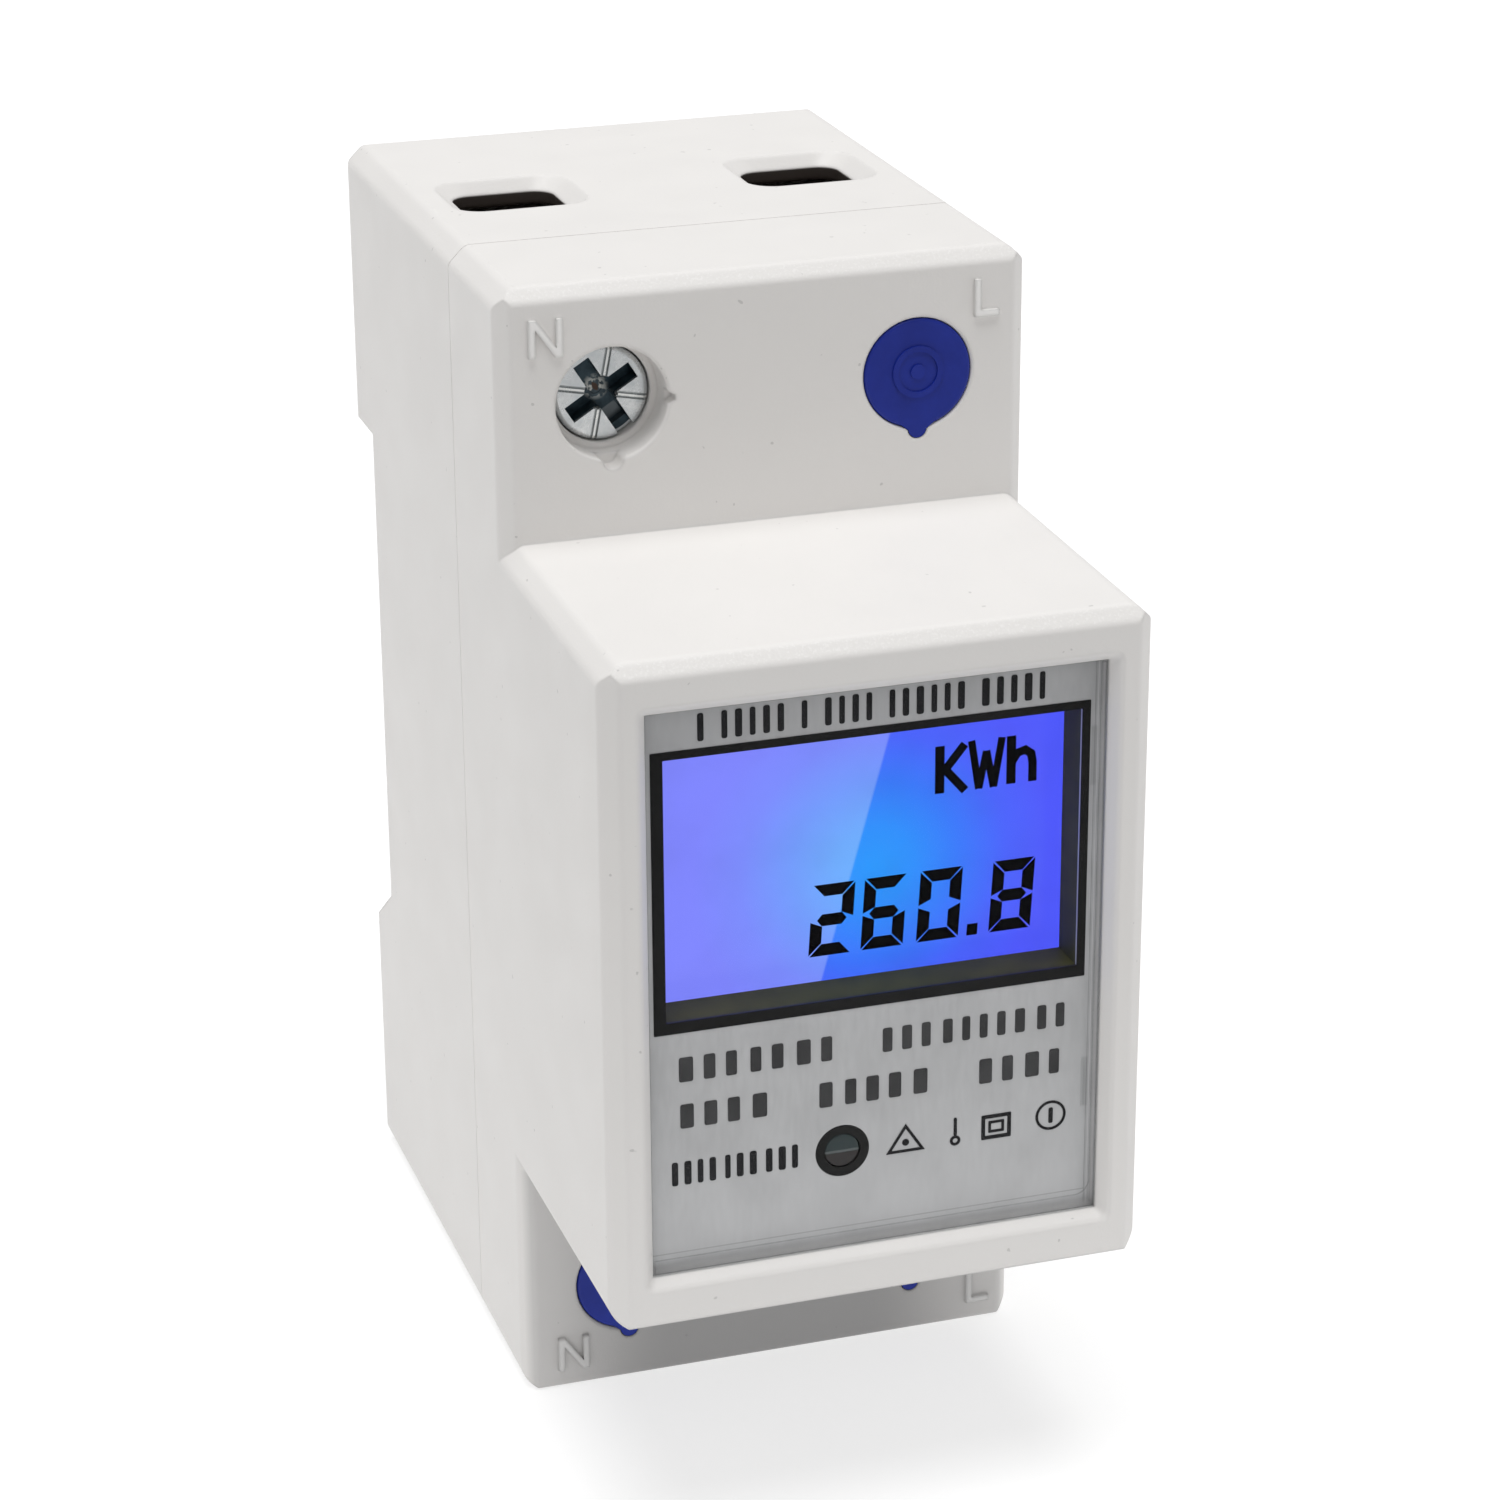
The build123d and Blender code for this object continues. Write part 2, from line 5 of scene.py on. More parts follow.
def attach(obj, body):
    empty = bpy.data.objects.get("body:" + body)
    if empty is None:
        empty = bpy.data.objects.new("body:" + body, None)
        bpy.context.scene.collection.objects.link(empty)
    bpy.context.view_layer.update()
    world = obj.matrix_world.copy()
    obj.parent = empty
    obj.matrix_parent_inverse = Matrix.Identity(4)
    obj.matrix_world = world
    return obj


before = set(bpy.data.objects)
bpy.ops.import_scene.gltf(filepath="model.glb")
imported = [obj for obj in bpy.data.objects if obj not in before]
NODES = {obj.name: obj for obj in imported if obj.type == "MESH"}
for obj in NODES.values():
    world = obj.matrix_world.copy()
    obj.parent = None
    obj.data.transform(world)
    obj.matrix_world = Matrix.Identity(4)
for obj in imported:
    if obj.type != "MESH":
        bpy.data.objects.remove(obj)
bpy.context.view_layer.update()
MM = 0.001
scene = bpy.context.scene

# ---------------------------------------------------------------- camera
YAW, PITCH, ROLL = math.radians(-17.792), math.radians(-21.66), math.radians(-0.369)
fwd = Vector((-math.sin(YAW) * math.cos(PITCH), math.cos(YAW) * math.cos(PITCH), math.sin(PITCH)))
rgt = Vector((math.cos(YAW), math.sin(YAW), 0))
upv = rgt.cross(fwd)
r2 = math.cos(ROLL) * rgt + math.sin(ROLL) * upv
u2 = -math.sin(ROLL) * rgt + math.cos(ROLL) * upv
cam_data = bpy.data.cameras.new("camera")
cam = bpy.data.objects.new("camera", cam_data)
scene.collection.objects.link(cam)
cam.matrix_world = Matrix(((r2.x, u2.x, -fwd.x, -0.082451), (r2.y, u2.y, -fwd.y, -0.262083),
                           (r2.z, u2.z, -fwd.z, 0.151451), (0, 0, 0, 1)))
cam_data.sensor_width = 36.0
cam_data.sensor_fit = "HORIZONTAL"
cam_data.lens = 102.68
cam_data.clip_start = 0.01
scene.camera = cam
scene.view_settings.view_transform = "Standard"
scene.view_settings.look = "None"


# ---------------------------------------------------------------- material helpers
def new_mat(name):
    m = bpy.data.materials.new(name)
    m.use_nodes = True
    nt = m.node_tree
    nt.nodes.clear()
    out = nt.nodes.new("ShaderNodeOutputMaterial")
    b = nt.nodes.new("ShaderNodeBsdfPrincipled")
    nt.links.new(b.outputs[0], out.inputs[0])
    return m, nt, b, out


def node(nt, kind, **funnel_wall_painted_light):
    n = nt.nodes.new(kind)
    for k, v in funnel_wall_painted_light.items():
        if k in ("operation", "blend_type", "data_type", "noise_dimensions", "feature", "interpolation_type", "clamp"):
            setattr(n, k, v)
    return n


def coords(nt):
    return nt.nodes.new("ShaderNodeTexCoord").outputs["Object"]


def noise(nt, vec, scale, detail=3.0, rough=0.5):
    n = nt.nodes.new("ShaderNodeTexNoise")
    n.inputs["Scale"].default_value = scale
    n.inputs["Detail"].default_value = detail
    n.inputs["Roughness"].default_value = rough
    nt.links.new(vec, n.inputs["Vector"])
    return n.outputs["Fac"]


def maprange(nt, val, a, b, c, d, smooth=False):
    n = nt.nodes.new("ShaderNodeMapRange")
    n.clamp = True
    if smooth:
        n.interpolation_type = "SMOOTHSTEP"
    for i, v in zip((1, 2, 3, 4), (a, b, c, d)):
        n.inputs[i].default_value = v
    nt.links.new(val, n.inputs[0])
    return n.outputs[0]


def mathn(nt, op, a, b=None):
    n = nt.nodes.new("ShaderNodeMath")
    n.operation = op
    for i, v in enumerate((a, b)):
        if v is None:
            continue
        if isinstance(v, (int, float)):
            n.inputs[i].default_value = v
        else:
            nt.links.new(v, n.inputs[i])
    return n.outputs[0]


def mixc(nt, fac, a, b):
    n = nt.nodes.new("ShaderNodeMix")
    n.data_type = "RGBA"
    for sock, v in ((n.inputs[0], fac), (n.inputs[6], a), (n.inputs[7], b)):
        if isinstance(v, (int, float)):
            sock.default_value = v
        elif isinstance(v, (tuple, list)):
            sock.default_value = (v[0], v[1], v[2], 1)
        else:
            nt.links.new(v, sock)
    return n.outputs[2]


def bump(nt, b, height, strength, dist, prev=None):
    n = nt.nodes.new("ShaderNodeBump")
    n.inputs["Strength"].default_value = strength
    n.inputs["Distance"].default_value = dist
    nt.links.new(height, n.inputs["Height"])
    if prev is not None:
        nt.links.new(prev, n.inputs["Normal"])
    nt.links.new(n.outputs[0], b.inputs["Normal"])
    return n.outputs[0]


def setin(b, name, v):
    b.inputs[name].default_value = v


def simple(name, color, rough=0.5, metal=0.0, var=0.06, grain=4000.0, gstr=0.12, gdist=0.00002, spec=0.5, coat=0.0):
    m, nt, b, out = new_mat(name)
    co = coords(nt)
    f = noise(nt, co, 180.0, 4)
    lo = tuple(c * (1 - var) for c in color)
    hi = tuple(min(1.0, c * (1 + var)) for c in color)
    nt.links.new(mixc(nt, maprange(nt, f, 0.35, 0.65, 0, 1), lo, hi), b.inputs["Base Color"])
    fine = noise(nt, co, grain, 2)
    nt.links.new(maprange(nt, noise(nt, co, 900.0, 3), 0.3, 0.7, max(0.02, rough - 0.06), min(1, rough + 0.06)), b.inputs["Roughness"])
    setin(b, "Metallic", metal)
    setin(b, "Specular IOR Level", spec)
    setin(b, "Coat Weight", coat)
    bump(nt, b, fine, gstr, gdist)
    return m


# moulded housing plastic: warm white, fine spark texture, faint scuffs and dust
def housing(name, color, rough=0.5, inside_shade=None, letters=False):
    m, nt, b, out = new_mat(name)
    co = coords(nt)
    big = noise(nt, co, 55.0, 3)
    col = mixc(nt, maprange(nt, big, 0.35, 0.65, 0, 1), tuple(c * 0.985 for c in color), color)
    # sparse dust specks
    sp = noise(nt, co, 1500.0, 1.0)
    col = mixc(nt, maprange(nt, sp, 0.775, 0.80, 0, 0.5), col, tuple(c * 0.55 for c in color))
    sep = nt.nodes.new("ShaderNodeSeparateXYZ")
    nt.links.new(co, sep.inputs[0])
    ax = mathn(nt, "ABSOLUTE", sep.outputs[0])
    if letters:
        # painted highlight: the raised letters are painted a little lighter than the face round them, for the light
        # their raised strokes catch
        zb = mathn(nt, "ADD", maprange(nt, sep.outputs[2], 0.0045, 0.0046, 1, 0), maprange(nt, sep.outputs[2], 0.0738, 0.0739, 0, 1))
        letter_painted_highlight = mathn(nt, "MULTIPLY", zb, maprange(nt, sep.outputs[1], -0.00944, -0.00930, 1, 0))
        letter_painted_highlight = mathn(nt, "MULTIPLY", letter_painted_highlight, maprange(nt, ax, 0.0130, 0.0131, 0, 1))
        col = mixc(nt, letter_painted_highlight, col, (0.90, 0.89, 0.875))
    if letters:
        # painted highlight and shade on the upward-facing bevels: they are darkened a little, with light specks painted
        # as glints of the moulding grain and a few dark specks
        gm = nt.nodes.new("ShaderNodeNewGeometry")
        sn = nt.nodes.new("ShaderNodeSeparateXYZ")
        nt.links.new(gm.outputs["True Normal"], sn.inputs[0])
        big_n = mathn(nt, "MAXIMUM", mathn(nt, "ABSOLUTE", sn.outputs[1]), mathn(nt, "ABSOLUTE", sn.outputs[2]))
        upward_bevel_light_mask = mathn(nt, "MULTIPLY", maprange(nt, big_n, 0.80, 0.97, 1, 0), maprange(nt, sn.outputs[2], 0.30, 0.55, 0, 1))
        upward_bevel_light_mask = mathn(nt, "MULTIPLY", upward_bevel_light_mask, maprange(nt, mathn(nt, "ABSOLUTE", sn.outputs[0]), 0.10, 0.35, 1, 0))
        upward_bevel_light_mask = mathn(nt, "MULTIPLY", upward_bevel_light_mask, maprange(nt, sep.outputs[2], 0.0590, 0.0600, 0, 1))
        col = mixc(nt, mathn(nt, "MULTIPLY", upward_bevel_light_mask, 0.14), col, tuple(c * 0.7 for c in color))
        gr = noise(nt, co, 5200.0, 1.5, 0.6)
        col = mixc(nt, mathn(nt, "MULTIPLY", upward_bevel_light_mask, maprange(nt, gr, 0.54, 0.68, 0, 0.20)), col, (0.98, 0.975, 0.965))
        col = mixc(nt, mathn(nt, "MULTIPLY", upward_bevel_light_mask, maprange(nt, gr, 0.32, 0.44, 0.07, 0)), col, tuple(c * 0.7 for c in color))
        # painted shade: the shoulder under the nose is painted greyer, most in its middle
        under_nose_painted_shade = mathn(nt, "MULTIPLY", maprange(nt, sep.outputs[2], 0.0168, 0.0171, 1, 0), maprange(nt, sep.outputs[1], -0.0090, -0.0085, 1, 0))
        under_nose_painted_shade = mathn(nt, "MULTIPLY", under_nose_painted_shade, maprange(nt, ax, 0.0172, 0.0070, 0.34, 0.74, True))
        col = mixc(nt, under_nose_painted_shade, col, (0.20, 0.20, 0.205))
        # painted shade: the rounded lower edge of the nose, where it faces down, is painted greyer too
        nose_edge_painted_shade = mathn(nt, "MULTIPLY", maprange(nt, sn.outputs[2], -0.15, -0.85, 0, 0.50), maprange(nt, sep.outputs[1], -0.0300, -0.0290, 1, 0))
        nose_edge_painted_shade = mathn(nt, "MULTIPLY", nose_edge_painted_shade, maprange(nt, sep.outputs[2], 0.0186, 0.0189, 1, 0))
        col = mixc(nt, nose_edge_painted_shade, col, (0.20, 0.20, 0.205))
    if inside_shade is not None:
        # painted shade: the inside faces of the case, seen down the screw funnels, take the given dark colour
        inx = maprange(nt, ax, 0.0161, 0.0164, 1, 0)
        z0 = maprange(nt, sep.outputs[2], 0.0009, 0.0010, 0, 1)
        z1 = maprange(nt, sep.outputs[2], 0.0780, 0.0781, 1, 0)
        y1 = maprange(nt, sep.outputs[1], 0.0253, 0.0256, 1, 0)
        k = mathn(nt, "MULTIPLY", mathn(nt, "MULTIPLY", inx, y1), mathn(nt, "MULTIPLY", z0, z1))
        # painted light: just under the top, one wall of each screw funnel is painted a lighter brown within that dark
        wall = mathn(nt, "MINIMUM", mathn(nt, "ABSOLUTE", mathn(nt, "ADD", sep.outputs[0], 0.0068)), mathn(nt, "ABSOLUTE", mathn(nt, "SUBTRACT", sep.outputs[0], 0.0140)))
        funnel_wall_painted_light = mathn(nt, "MULTIPLY", maprange(nt, wall, 0.0004, 0.0009, 1, 0), maprange(nt, sep.outputs[1], 0.0114, 0.0150, 1, 0))
        funnel_wall_painted_light = mathn(nt, "MULTIPLY", funnel_wall_painted_light, maprange(nt, sep.outputs[2], 0.0770, 0.0772, 0, 1))
        col = mixc(nt, k, col, mixc(nt, funnel_wall_painted_light, inside_shade, (0.46, 0.37, 0.31)))
    nt.links.new(col, b.inputs["Base Color"])
    rn = noise(nt, co, 240.0, 4)
    nt.links.new(maprange(nt, rn, 0.3, 0.7, rough - 0.05, rough + 0.07), b.inputs["Roughness"])
    setin(b, "Specular IOR Level", 0.45)
    g1 = noise(nt, co, 5200.0, 2.5, 0.6)
    n1 = bump(nt, b, g1, 0.30, 0.000035)
    g2 = noise(nt, co, 420.0, 2.0)
    n2 = bump(nt, b, g2, 0.10, 0.00006, n1)
    # moulded edges read as soft ones
    bv = nt.nodes.new("ShaderNodeBevel")
    bv.samples = 6
    bv.inputs["Radius"].default_value = 0.00038
    nt.links.new(n2, bv.inputs["Normal"])
    # but not along the joint of the two case halves, which stays a hairline
    seam = nt.nodes.new("ShaderNodeMix")
    seam.data_type = "VECTOR"
    nt.links.new(maprange(nt, mathn(nt, "ABSOLUTE", mathn(nt, "SUBTRACT", sep.outputs[1], 0.0028)), 0.0004, 0.0008, 0, 1), seam.inputs[0])
    nt.links.new(n2, seam.inputs[4])
    nt.links.new(bv.outputs[0], seam.inputs[5])
    nt.links.new(seam.outputs[1], b.inputs["Normal"])
    return m


WHITE = (0.785, 0.768, 0.750)
M = {}
M["case"] = housing("case_plastic_m", WHITE, 0.48, inside_shade=(0.040, 0.031, 0.026))
M["cover"] = housing("cover_plastic_m", WHITE, 0.48, letters=True)
M["clip"] = housing("clip_plastic_m", (0.80, 0.785, 0.76), 0.45)

# blue seal caps
m, nt, b, out = new_mat("cap_blue_m")
co = coords(nt)
f = noise(nt, co, 350.0, 4)
nt.links.new(mixc(nt, maprange(nt, f, 0.35, 0.65, 0, 1), (0.006, 0.019, 0.235), (0.009, 0.026, 0.30)), b.inputs["Base Color"])
nt.links.new(maprange(nt, noise(nt, co, 1200.0, 3), 0.3, 0.7, 0.34, 0.5), b.inputs["Roughness"])
setin(b, "Specular IOR Level", 0.28)
n1 = bump(nt, b, noise(nt, co, 4200.0, 2), 0.22, 0.00003)
M["cap"] = m

# clear window: light passes, gloss by Fresnel, side faces read as a grey edge
m = bpy.data.materials.new("window_clear_m")
m.use_nodes = True
nt = m.node_tree
nt.nodes.clear()
out = nt.nodes.new("ShaderNodeOutputMaterial")
tr = nt.nodes.new("ShaderNodeBsdfTransparent")
gl = nt.nodes.new("ShaderNodeBsdfGlossy")
gl.inputs["Roughness"].default_value = 0.015
mx = nt.nodes.new("ShaderNodeMixShader")
fr = nt.nodes.new("ShaderNodeFresnel")
fr.inputs["IOR"].default_value = 1.46
geo = nt.nodes.new("ShaderNodeNewGeometry")
sepn = nt.nodes.new("ShaderNodeSeparateXYZ")
nt.links.new(geo.outputs["True Normal"], sepn.inputs[0])
side = maprange(nt, mathn(nt, "ABSOLUTE", sepn.outputs[1]), 0.25, 0.85, 1, 0)
co = coords(nt)
haze = maprange(nt, noise(nt, co, 260.0, 4), 0.45, 0.75, 0.985, 0.955)
comb = nt.nodes.new("ShaderNodeCombineColor")
for i in range(3):
    nt.links.new(haze, comb.inputs[i])
nt.links.new(mixc(nt, side, comb.outputs[0], (0.84, 0.845, 0.85)), tr.inputs["Color"])
nt.links.new(maprange(nt, noise(nt, co, 700.0, 3), 0.4, 0.7, 0.01, 0.05), gl.inputs["Roughness"])
nt.links.new(mathn(nt, "MULTIPLY", fr.outputs[0], 0.07), mx.inputs[0])
nt.links.new(tr.outputs[0], mx.inputs[1])
nt.links.new(gl.outputs[0], mx.inputs[2])
nt.links.new(mx.outputs[0], out.inputs[0])
M["window"] = m

# nameplate film: satin silver grey, with a fine mottling
m, nt, b, out = new_mat("nameplate_m")
co = coords(nt)
mp = nt.nodes.new("ShaderNodeMapping")
mp.inputs["Scale"].default_value = (1.0, 1.0, 0.25)
nt.links.new(co, mp.inputs[0])
f1 = noise(nt, mp.outputs[0], 2600.0, 3)
f2 = noise(nt, co, 70.0, 3)
c = mixc(nt, maprange(nt, f1, 0.3, 0.7, 0, 1), (0.525, 0.530, 0.537), (0.578, 0.583, 0.590))
c = mixc(nt, maprange(nt, f2, 0.35, 0.7, 0, 0.35), c, (0.50, 0.505, 0.513))
sep = nt.nodes.new("ShaderNodeSeparateXYZ")
nt.links.new(co, sep.inputs[0])
X_, Z_ = sep.outputs[0], sep.outputs[2]


def band(v, a, c_, soft=0.00003):
    """1 between a and c_ (metres), 0 outside"""
    return mathn(nt, "MULTIPLY", maprange(nt, v, a - soft, a + soft, 0, 1), maprange(nt, v, c_ - soft, c_ + soft, 1, 0))


streak_m = nt.nodes.new("ShaderNodeMapping")
streak_m.inputs["Scale"].default_value = (9.0, 1.0, 0.5)
nt.links.new(co, streak_m.inputs[0])
streak = maprange(nt, noise(nt, streak_m.outputs[0], 900.0, 3), 0.35, 0.65, 0, 1)
# painted light and shade: the film is painted lighter towards its bottom and darker along its top, under the frame's
# upper edge
c = mixc(nt, mathn(nt, "MULTIPLY", maprange(nt, Z_, 0.0200, 0.0330, 1, 0, True), 0.42), c, (0.70, 0.705, 0.715))
c = mixc(nt, mathn(nt, "MULTIPLY", maprange(nt, Z_, 0.0548, 0.0583, 0, 1), 0.30), c, (0.45, 0.455, 0.465))
# the window's rib, snap tabs and groove over the film are drawn onto it: a darker strip and darker tabs with light
# streaks, dark edge lines as painted shade and one light line as a painted highlight
strip = band(X_, 0.01452, 0.01620)
c = mixc(nt, mathn(nt, "MULTIPLY", strip, 0.35), c, (0.42, 0.425, 0.43))
c = mixc(nt, mathn(nt, "MULTIPLY", strip, mathn(nt, "MULTIPLY", streak, 0.45)), c, (0.72, 0.725, 0.735))
tabs = mathn(nt, "ADD", mathn(nt, "MULTIPLY", band(Z_, 0.0271, 0.0306, 0.0001), band(X_, 0.01425, 0.01470)),
             mathn(nt, "MULTIPLY", band(Z_, 0.0496, 0.0536, 0.0001), band(X_, 0.01440, 0.01485)))
c = mixc(nt, mathn(nt, "MULTIPLY", tabs, mathn(nt, "ADD", 0.30, mathn(nt, "MULTIPLY", streak, 0.3))), c, (0.30, 0.305, 0.31))
c = mixc(nt, mathn(nt, "MULTIPLY", band(X_, 0.01461, 0.01467, 0.00002), 0.45), c, (0.16, 0.16, 0.165))
c = mixc(nt, mathn(nt, "MULTIPLY", band(X_, 0.01503, 0.01510, 0.00002), 0.35), c, (0.14, 0.14, 0.14))
c = mixc(nt, mathn(nt, "MULTIPLY", band(X_, 0.01478, 0.01486, 0.00002), 0.6), c, (0.80, 0.80, 0.81))
low = mathn(nt, "MULTIPLY", band(Z_, 0.02100, 0.02107, 0.00002), maprange(nt, X_, 0.0146, 0.0147, 1, 0))
c = mixc(nt, mathn(nt, "MULTIPLY", low, 0.4), c, (0.16, 0.16, 0.165))
# rim under the frame's edge catches no light, so it is lightened; the cut edge round the display is dark
rim = mathn(nt, "MAXIMUM", maprange(nt, Z_, 0.0203, 0.0199, 0, 1), maprange(nt, mathn(nt, "ABSOLUTE", X_), 0.0149, 0.0152, 0, 1))
c = mixc(nt, mathn(nt, "MULTIPLY", rim, 0.75), c, (0.93, 0.93, 0.935))
cut = mathn(nt, "MULTIPLY", band(Z_, 0.03700, 0.03723, 0.00001), maprange(nt, mathn(nt, "ABSOLUTE", X_), 0.0138, 0.01385, 1, 0))
c = mixc(nt, cut, c, (0.015, 0.015, 0.015))
nt.links.new(c, b.inputs["Base Color"])
setin(b, "Metallic", 0.08)
setin(b, "Specular IOR Level", 0.3)
nt.links.new(maprange(nt, f1, 0.3, 0.7, 0.42, 0.56), b.inputs["Roughness"])
bump(nt, b, f1, 0.12, 0.00002)
M["label"] = m

# printed ink
M["ink"] = simple("ink_dark_m", (0.066, 0.066, 0.068), 0.6, spec=0.08, var=0.25, grain=5000.0, gstr=0.1)
M["ink_title"] = simple("ink_title_m", (0.022, 0.022, 0.024), 0.6, spec=0.08, var=0.2, grain=5000.0, gstr=0.1)
M["border"] = simple("ink_border_m", (0.015, 0.015, 0.015), 0.6, spec=0.06, var=0.15, grain=4500.0, gstr=0.12)

# display well
m, nt, b, out = new_mat("display_frame_m")
co = coords(nt)
f = noise(nt, co, 500.0, 3)
nt.links.new(mixc(nt, maprange(nt, f, 0.35, 0.65, 0, 1), (0.066, 0.064, 0.014), (0.086, 0.084, 0.019)), b.inputs["Base Color"])
setin(b, "Roughness", 0.6)
setin(b, "Specular IOR Level", 0.15)
bump(nt, b, noise(nt, co, 3500.0, 2), 0.2, 0.00003)
M["holder"] = m

# lit display: the backlight is brightest behind the digits, and one corner is paler, beyond a sharp diagonal edge
m, nt, b, out = new_mat("lcd_lit_m")
co = coords(nt)
sep = nt.nodes.new("ShaderNodeSeparateXYZ")
nt.links.new(co, sep.inputs[0])
dx = mathn(nt, "DIVIDE", mathn(nt, "SUBTRACT", sep.outputs[0], 0.0010), 0.012)
dz = mathn(nt, "DIVIDE", mathn(nt, "SUBTRACT", sep.outputs[2], 0.0447), 0.012)
d2 = mathn(nt, "SQRT", mathn(nt, "ADD", mathn(nt, "MULTIPLY", dx, dx), mathn(nt, "MULTIPLY", dz, dz)))
ramp = nt.nodes.new("ShaderNodeValToRGB")
nt.links.new(d2, ramp.inputs[0])
els = ramp.color_ramp.elements
els[0].position = 0.0
els[0].color = (0.016, 0.31, 0.98, 1)
els[1].position = 1.0
els[1].color = (0.076, 0.098, 0.98, 1)
for p, c in ((0.22, (0.020, 0.275, 0.98, 1)), (0.48, (0.035, 0.190, 0.98, 1)), (0.74, (0.064, 0.122, 0.98, 1))):
    e = els.new(p)
    e.color = c
edge = mathn(nt, "SUBTRACT", sep.outputs[0], mathn(nt, "ADD", mathn(nt, "MULTIPLY", mathn(nt, "SUBTRACT", sep.outputs[2], 0.0369), 0.2776), -0.002593))
pale = maprange(nt, edge, -0.00012, 0.00012, 1, 0, True)
addc = nt.nodes.new("ShaderNodeMix")
addc.data_type = "RGBA"
addc.blend_type = "ADD"
nt.links.new(pale, addc.inputs[0])
nt.links.new(ramp.outputs[0], addc.inputs[6])
addc.inputs[7].default_value = (0.135, 0.140, 0.02, 1)
setin(b, "Base Color", (0.008, 0.010, 0.02, 1))
setin(b, "Roughness", 0.12)
setin(b, "Specular IOR Level", 0.12)
nt.links.new(addc.outputs[2], b.inputs["Emission Color"])
ev = maprange(nt, noise(nt, co, 120.0, 2), 0.3, 0.7, 0.98, 1.02)
nt.links.new(ev, b.inputs["Emission Strength"])
M["lcd"] = m
M["segment"] = simple("segment_m", (0.0015, 0.0012, 0.002), 0.5, var=0.3, gstr=0.05, spec=0.02)

# screw: bright zinc face; the recess is painted dark by depth below the head face, as painted shade with a petrol tint
m, nt, b, out = new_mat("zinc_screw_m")
co = coords(nt)
sep = nt.nodes.new("ShaderNodeSeparateXYZ")
nt.links.new(co, sep.inputs[0])
depth = maprange(nt, sep.outputs[1], -0.00648, -0.00625, 0, 1)
stain = maprange(nt, noise(nt, co, 900.0, 4), 0.35, 0.7, 0, 1)
zc = mixc(nt, stain, (0.80, 0.82, 0.83), (0.60, 0.64, 0.66))
recess_shade_and_wear = mixc(nt, maprange(nt, noise(nt, co, 1500.0, 3), 0.35, 0.65, 0, 1), (0.014, 0.030, 0.042), (0.040, 0.070, 0.090))
# distance from the nearest screw axis
ax = mathn(nt, "SUBTRACT", sep.outputs[0], mathn(nt, "MULTIPLY", mathn(nt, "SIGN", sep.outputs[0]), 0.0104))
za = mathn(nt, "SUBTRACT", sep.outputs[2], 0.0710)
zb = mathn(nt, "SUBTRACT", sep.outputs[2], 0.0075)
zz = mathn(nt, "MINIMUM", mathn(nt, "MULTIPLY", za, za), mathn(nt, "MULTIPLY", zb, zb))
rad = mathn(nt, "SQRT", mathn(nt, "ADD", mathn(nt, "MULTIPLY", ax, ax), zz))
inr = maprange(nt, rad, 0.00300, 0.00306, 1, 0)
ishead = maprange(nt, sep.outputs[1], -0.0034, -0.0033, 1, 0)
k = mathn(nt, "MULTIPLY", mathn(nt, "MULTIPLY", depth, inr), ishead)
# tick lines between the arms, painted as dark shade lines each side with a painted highlight line along the middle;
# round the centre a bright patch that is partly wear and partly painted highlight
zn = mathn(nt, "ADD", mathn(nt, "MULTIPLY", za, maprange(nt, sep.outputs[2], 0.03, 0.0301, 0, 1)), mathn(nt, "MULTIPLY", zb, maprange(nt, sep.outputs[2], 0.03, 0.0301, 1, 0)))
CA, SA = math.cos(math.radians(11)), math.sin(math.radians(11))
uu = mathn(nt, "ABSOLUTE", mathn(nt, "SUBTRACT", mathn(nt, "MULTIPLY", ax, CA), mathn(nt, "MULTIPLY", zn, SA)))
vv = mathn(nt, "ABSOLUTE", mathn(nt, "ADD", mathn(nt, "MULTIPLY", ax, SA), mathn(nt, "MULTIPLY", zn, CA)))
wn = mathn(nt, "MINIMUM", uu, vv)
tick_painted_shade = mathn(nt, "MULTIPLY", maprange(nt, wn, 0.00006, 0.00009, 0, 1), maprange(nt, wn, 0.00020, 0.00026, 1, 0))
tick_painted_highlight = maprange(nt, wn, 0.00004, 0.00008, 1, 0)
zc = mixc(nt, mathn(nt, "MULTIPLY", tick_painted_shade, 0.72), zc, (0.16, 0.18, 0.18))
zc = mixc(nt, mathn(nt, "MULTIPLY", tick_painted_highlight, 0.8), zc, (0.93, 0.94, 0.92))
deep = maprange(nt, sep.outputs[1], -0.00605, -0.0048, 0, 1)
CB, SB = math.cos(math.radians(58)), math.sin(math.radians(58))
along = mathn(nt, "SUBTRACT", mathn(nt, "MULTIPLY", ax, CB), mathn(nt, "MULTIPLY", zn, SB))
across = mathn(nt, "ABSOLUTE", mathn(nt, "ADD", mathn(nt, "MULTIPLY", ax, SB), mathn(nt, "MULTIPLY", zn, CB)))
# painted light: the shallower slot floor at one arm's end is painted lighter than the deep recess
slot_floor_painted_light = mathn(nt, "MULTIPLY", mathn(nt, "MULTIPLY", maprange(nt, along, 0.00150, 0.00158, 0, 1), maprange(nt, along, 0.00225, 0.00255, 1, 0)), maprange(nt, across, 0.00050, 0.00056, 1, 0))
recess_shade_and_wear = mixc(nt, mathn(nt, "MULTIPLY", slot_floor_painted_light, 0.8), recess_shade_and_wear, (0.20, 0.225, 0.24))
